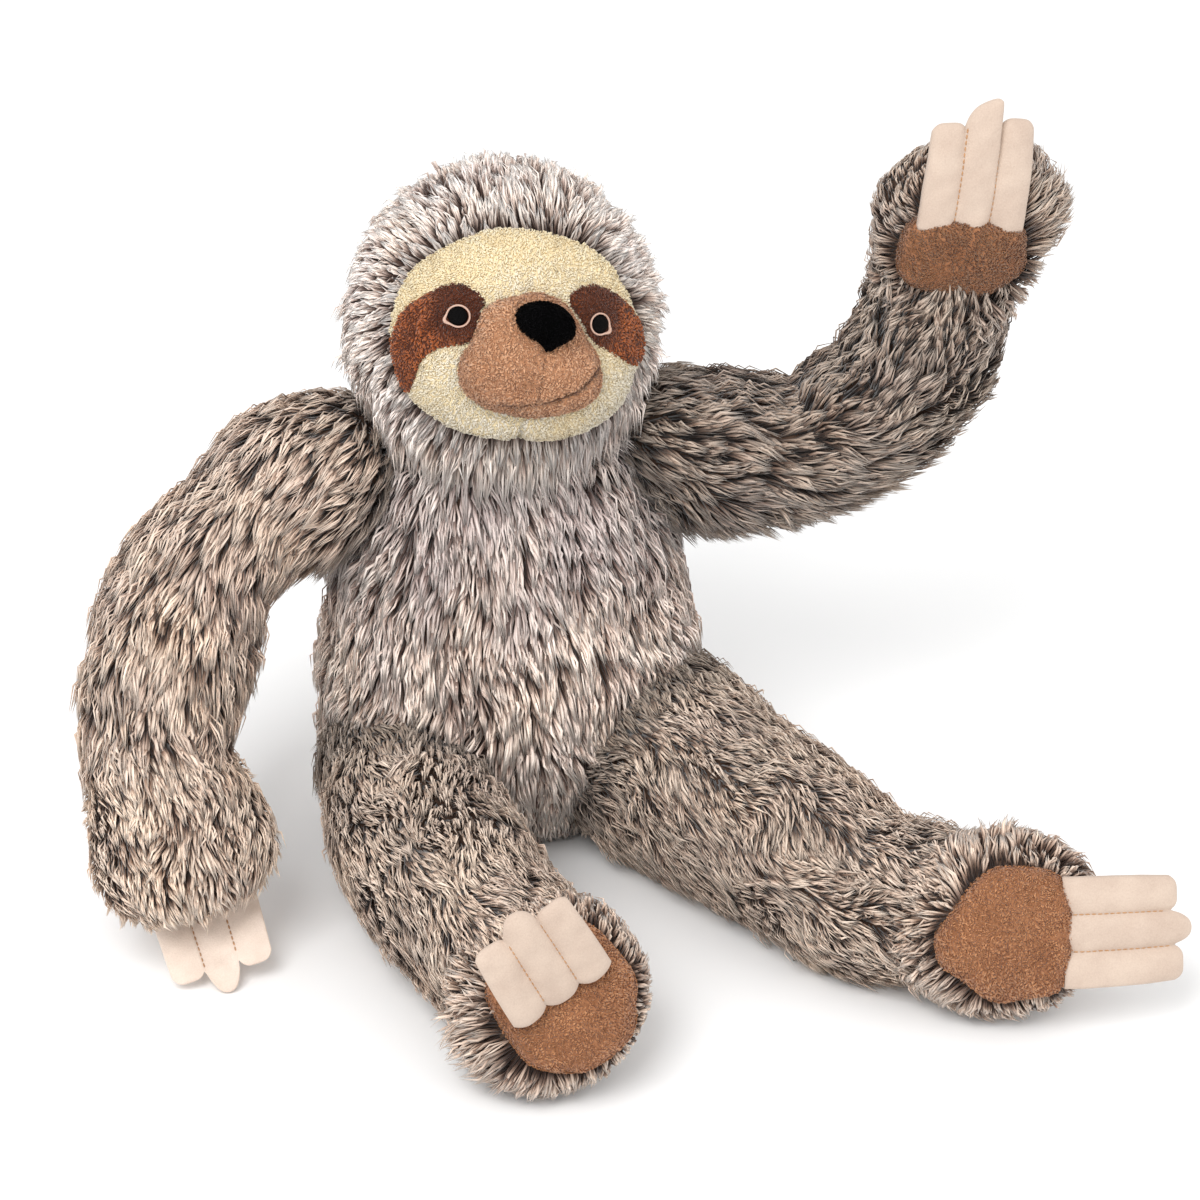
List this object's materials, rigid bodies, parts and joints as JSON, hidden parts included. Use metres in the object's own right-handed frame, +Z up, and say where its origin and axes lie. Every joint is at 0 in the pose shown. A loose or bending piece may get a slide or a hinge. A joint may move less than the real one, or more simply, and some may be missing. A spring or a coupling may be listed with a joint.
{
  "type": "plush sloth",
  "caption": "Seated plush sloth with one arm raised, a pale face with dark eye patches, padded palms and soles, quilted claws, and head and limbs that turn at their seams.",
  "frame": {"origin": "middle of the flat seat, on the surface that the toy sits on", "axes": "+Z up, the sloth faces -Y, and its own left, with the raised arm, is +X"},
  "size_m": [0.4995, 0.3566, 0.3819],
  "materials": {
    "torso_fur": "long soft pile, dark at the root and pale at the tip",
    "fibre_filling": "white polyester fibre",
    "pellet_cloth": "woven cloth filled with pellets",
    "head_fur": "soft pile, brushed outward from the face",
    "face_plush": "short cream plush",
    "patch_plush": "short dark brown plush",
    "eye_thread": "satin-stitch embroidery",
    "muzzle_plush": "short tan plush",
    "nose_plush": "short black plush",
    "mouth_thread": "sewn thread",
    "limb_fur": "short frosted pile, dark at the root",
    "pad_plush": "short brown plush",
    "claw_felt": "cream felt, quilted in three channels"
  },
  "bodies": {
    "torso": {"torso_skin": "torso_fur", "torso_stuffing": "fibre_filling", "pellet_bag": "pellet_cloth"},
    "head": {"head_skin": "head_fur", "head_stuffing": "fibre_filling", "face_panel": "face_plush", "left_eye_patch": "patch_plush", "right_eye_patch": "patch_plush", "left_eye": "eye_thread", "right_eye": "eye_thread", "muzzle": "muzzle_plush", "muzzle_stuffing": "fibre_filling", "nose": "nose_plush", "mouth_stitching": "mouth_thread"},
    "left_upper_arm": {"left_upper_arm_skin": "limb_fur", "left_upper_arm_stuffing": "fibre_filling"},
    "left_forearm": {"left_forearm_skin": "limb_fur", "left_forearm_stuffing": "fibre_filling"},
    "left_leg": {"left_leg_skin": "limb_fur", "left_leg_stuffing": "fibre_filling"},
    "left_hand": {"left_hand_skin": "limb_fur", "left_hand_stuffing": "fibre_filling", "left_palm_pad": "pad_plush", "left_hand_claws": "claw_felt"},
    "left_foot": {"left_foot_skin": "limb_fur", "left_foot_stuffing": "fibre_filling", "left_sole_pad": "pad_plush", "left_foot_claws": "claw_felt"},
    "right_upper_arm": {"right_upper_arm_skin": "limb_fur", "right_upper_arm_stuffing": "fibre_filling"},
    "right_forearm": {"right_forearm_skin": "limb_fur", "right_forearm_stuffing": "fibre_filling"},
    "right_leg": {"right_leg_skin": "limb_fur", "right_leg_stuffing": "fibre_filling"},
    "right_hand": {"right_hand_skin": "limb_fur", "right_hand_stuffing": "fibre_filling", "right_palm_pad": "pad_plush", "right_hand_claws": "claw_felt"},
    "right_foot": {"right_foot_skin": "limb_fur", "right_foot_stuffing": "fibre_filling", "right_sole_pad": "pad_plush", "right_foot_claws": "claw_felt"}
  },
  "joints": [
    {"name": "neck", "type": "hinge", "parent": "torso", "child": "head", "pos_m": [0, 0.01, 0.268], "axis": [0, 0, 1], "range_deg": [-40, 40]},
    {"name": "left_shoulder", "type": "hinge", "parent": "torso", "child": "left_upper_arm", "pos_m": [0.08702, 0.01, 0.19498], "axis": [0, -1, 0], "range_deg": [-40, 25]},
    {"name": "left_elbow", "type": "hinge", "parent": "left_upper_arm", "child": "left_forearm", "pos_m": [0.19148, -0.00388, 0.20947], "axis": [-0.1151, -0.9919, -0.0541], "range_deg": [-30, 20]},
    {"name": "left_wrist", "type": "hinge", "parent": "left_forearm", "child": "left_hand", "pos_m": [0.21279, -0.01095, 0.28048], "axis": [0.9939, 0, -0.1106], "range_deg": [-25, 25]},
    {"name": "left_hip", "type": "hinge", "parent": "torso", "child": "left_leg", "pos_m": [0.06174, -0.0304, 0.049], "axis": [-0.9272, -0.3746, 0], "range_deg": [0, 30]},
    {"name": "left_ankle", "type": "hinge", "parent": "left_leg", "child": "left_foot", "pos_m": [0.17019, -0.19074, 0.04445], "axis": [-0.0484, -0.4144, -0.9088], "range_deg": [-15, 15]},
    {"name": "right_shoulder", "type": "hinge", "parent": "torso", "child": "right_upper_arm", "pos_m": [-0.08702, 0.01, 0.19498], "axis": [0, 1, 0], "range_deg": [0, 45]},
    {"name": "right_elbow", "type": "hinge", "parent": "right_upper_arm", "child": "right_forearm", "pos_m": [-0.17095, -0.03483, 0.14855], "axis": [-0.3781, -0.5889, 0.7143], "range_deg": [-35, 5]},
    {"name": "right_wrist", "type": "hinge", "parent": "right_forearm", "child": "right_hand", "pos_m": [-0.18204, -0.08045, 0.09109], "axis": [0.9729, 0.0481, 0.2263], "range_deg": [-25, 25]},
    {"name": "right_hip", "type": "hinge", "parent": "torso", "child": "right_leg", "pos_m": [-0.06174, -0.0304, 0.049], "axis": [-0.9986, 0.0523, 0], "range_deg": [0, 30]},
    {"name": "right_ankle", "type": "hinge", "parent": "right_leg", "child": "right_foot", "pos_m": [-0.02048, -0.21861, 0.0432], "axis": [0.8821, 0.1825, 0.4343], "range_deg": [-15, 15]}
  ]
}
